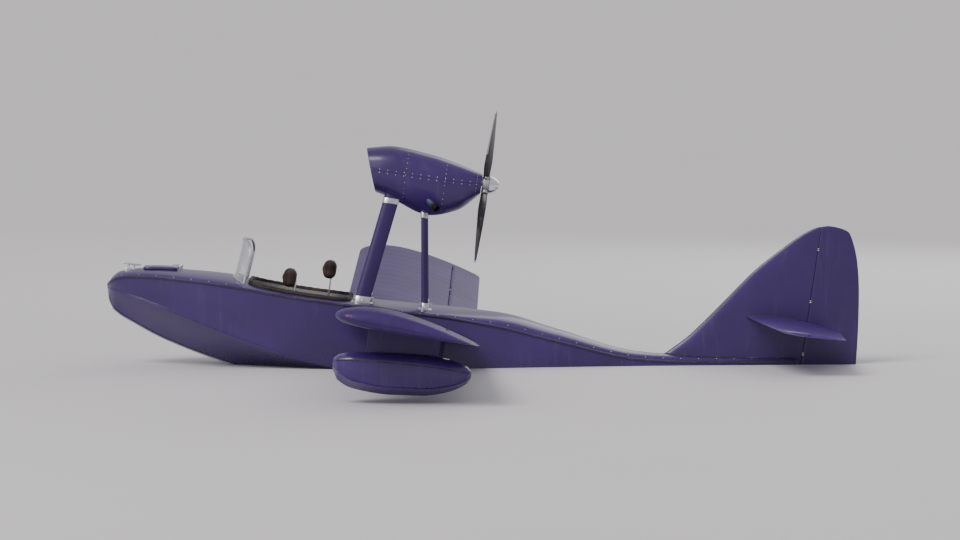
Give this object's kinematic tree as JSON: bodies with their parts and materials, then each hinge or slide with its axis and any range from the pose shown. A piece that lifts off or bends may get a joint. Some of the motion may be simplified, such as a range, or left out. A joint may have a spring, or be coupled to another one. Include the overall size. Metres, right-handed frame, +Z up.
{
  "type": "light open-cockpit flying boat",
  "caption": "Light single-hull flying boat with an open cockpit, wing-tip floats, a pusher engine nacelle on struts above the hull and a cruciform tail.",
  "frame": {"origin": "the point of the hull's middle plane where the water surface meets the hull's reference station just ahead of the step, at the waterline", "axes": "+Z up, square to the water; +Y to starboard, along the span; +X aft along the water, so the bow points to -X; the hull floats with its bow 8 degrees up"},
  "size_m": [6.8278, 9.0006, 2.6894],
  "materials": {
    "hull_paint": "glossy dark navy paint over a moulded hull",
    "wing_paint": "glossy dark navy paint",
    "tail_paint": "glossy dark navy paint",
    "float_paint": "glossy dark navy paint",
    "cowl_paint": "glossy dark navy paint",
    "strut_paint": "satin dark navy paint on drawn alloy tube",
    "bare_metal": "brushed",
    "spinner_chrome": "polished",
    "blade_black": "dark satin blade",
    "engine_iron": "cast",
    "exhaust_steel": "heat-tinted",
    "grille_black": "satin black",
    "panel_black": "crackle black",
    "black_parts": "matt black",
    "coaming_trim": "padded dark leather roll",
    "floor_boards": "varnished boards",
    "seat_cloth": "dark padded leather",
    "clear_screen": "clear acrylic"
  },
  "bodies": {
    "airframe": {"hull_bow": "hull_paint", "hull_middle": "hull_paint", "hull_stern": "hull_paint", "deck_bow": "hull_paint", "deck_middle": "hull_paint", "deck_stern": "hull_paint", "cockpit_coaming": "coaming_trim", "cockpit_floor": "floor_boards", "seat_left": "seat_cloth", "headrest_left": "seat_cloth", "seat_right": "seat_cloth", "headrest_right": "seat_cloth", "control_stick": "black_parts", "rudder_pedals": "bare_metal", "instrument_panel": "panel_black", "windscreen_frame": "bare_metal", "windscreen_glass": "clear_screen", "mooring_cleat": "bare_metal", "wing_right": "wing_paint", "wing_left": "wing_paint", "tip_float_right": "float_paint", "tip_float_left": "float_paint", "float_pylon_right": "strut_paint", "float_pylon_left": "strut_paint", "front_strut_right": "strut_paint", "front_strut_left": "strut_paint", "rear_strut_right": "strut_paint", "rear_strut_left": "strut_paint", "cowl_lower": "cowl_paint", "cowl_upper": "cowl_paint", "mouth_grille": "grille_black", "engine": "engine_iron", "exhaust_right": "exhaust_steel", "exhaust_left": "exhaust_steel", "fin": "tail_paint", "stabilizer": "tail_paint"},
    "propeller": {"propeller": "blade_black", "spinner": "spinner_chrome", "propeller_shaft": "bare_metal"},
    "rudder": {"rudder": "tail_paint", "water_rudder": "strut_paint"},
    "elevator": {"elevator": "tail_paint"},
    "aileron_right": {"aileron_right": "wing_paint"},
    "aileron_left": {"aileron_left": "wing_paint"},
    "flap_right": {"flap_right": "wing_paint"},
    "flap_left": {"flap_left": "wing_paint"},
    "bow_hatch": {"bow_hatch": "hull_paint"}
  },
  "joints": [
    {"name": "propeller_spin", "type": "hinge", "parent": "airframe", "child": "propeller", "pos_m": [0.6027, 0, 1.63705], "axis": [0.9903, 0, -0.1392], "continuous": true},
    {"name": "rudder_turn", "type": "hinge", "parent": "airframe", "child": "rudder", "pos_m": [3.49993, 0, 0.11401], "axis": [0.1392, 0, 0.9903], "range_deg": [-25, 25]},
    {"name": "elevator_turn", "type": "hinge", "parent": "airframe", "child": "elevator", "pos_m": [3.4555, 0, 0.37272], "axis": [0, 1, 0], "range_deg": [-25, 20]},
    {"name": "aileron_right_turn", "type": "hinge", "parent": "airframe", "child": "aileron_right", "pos_m": [0.28116, 3.351, 0.51982], "axis": [0.01, 0.9974, 0.0708], "range_deg": [-20, 20]},
    {"name": "aileron_left_turn", "type": "hinge", "parent": "airframe", "child": "aileron_left", "pos_m": [0.28116, -3.351, 0.51982], "axis": [-0.01, 0.9974, -0.0708], "range_deg": [-20, 20]},
    {"name": "flap_right_turn", "type": "hinge", "parent": "airframe", "child": "flap_right", "pos_m": [0.26335, 1.56558, 0.39308], "axis": [0.01, 0.9974, 0.0708], "range_deg": [0, 35]},
    {"name": "flap_left_turn", "type": "hinge", "parent": "airframe", "child": "flap_left", "pos_m": [0.26335, -1.56558, 0.39308], "axis": [-0.01, 0.9974, -0.0708], "range_deg": [0, 35]},
    {"name": "bow_hatch_lift", "type": "hinge", "parent": "airframe", "child": "bow_hatch", "pos_m": [-2.16427, 0, 0.89667], "axis": [0, 1, 0], "range_deg": [0, 100]}
  ],
  "couplings": [
    {"joint": "aileron_left_turn", "follows": "aileron_right_turn", "ratio": -1},
    {"joint": "flap_left_turn", "follows": "flap_right_turn", "ratio": 1}
  ]
}
